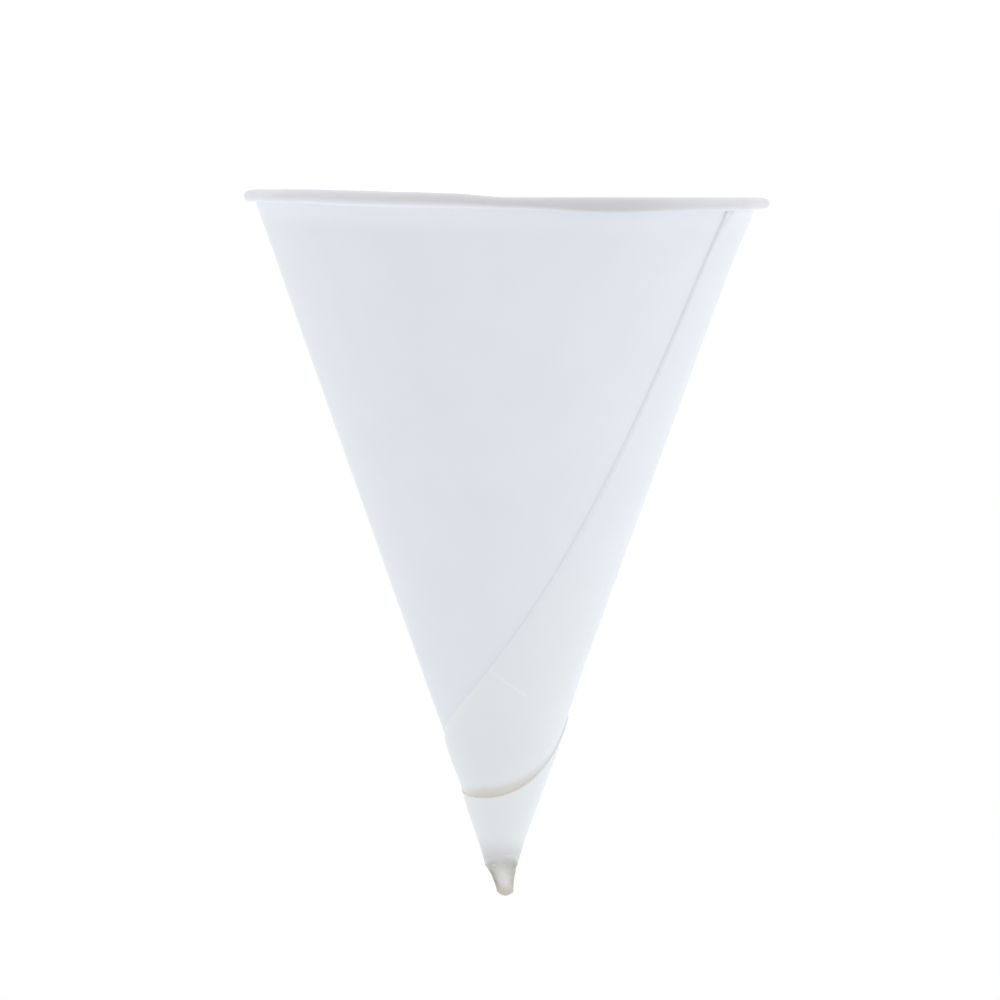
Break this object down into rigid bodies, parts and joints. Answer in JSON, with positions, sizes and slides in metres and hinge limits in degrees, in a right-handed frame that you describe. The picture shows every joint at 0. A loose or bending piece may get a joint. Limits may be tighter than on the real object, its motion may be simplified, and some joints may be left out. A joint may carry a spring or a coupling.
{
  "type": "cone paper cup",
  "caption": "White paper cup wound into a cone from one flat blank, with a rolled rim and a crimped tip, standing mouth down.",
  "frame": {"origin": "centre of the mouth, on the plane that the rolled rim stands on", "axes": "+Z along the cone's axis from the mouth to the crimped tip; -Y is the front, where the seam and the loose edge of the tail are seen"},
  "size_m": [0.073, 0.073, 0.0982],
  "materials": {
    "paper": "matte"
  },
  "bodies": {
    "root": {"cone_cup": "paper"}
  },
  "joints": []
}
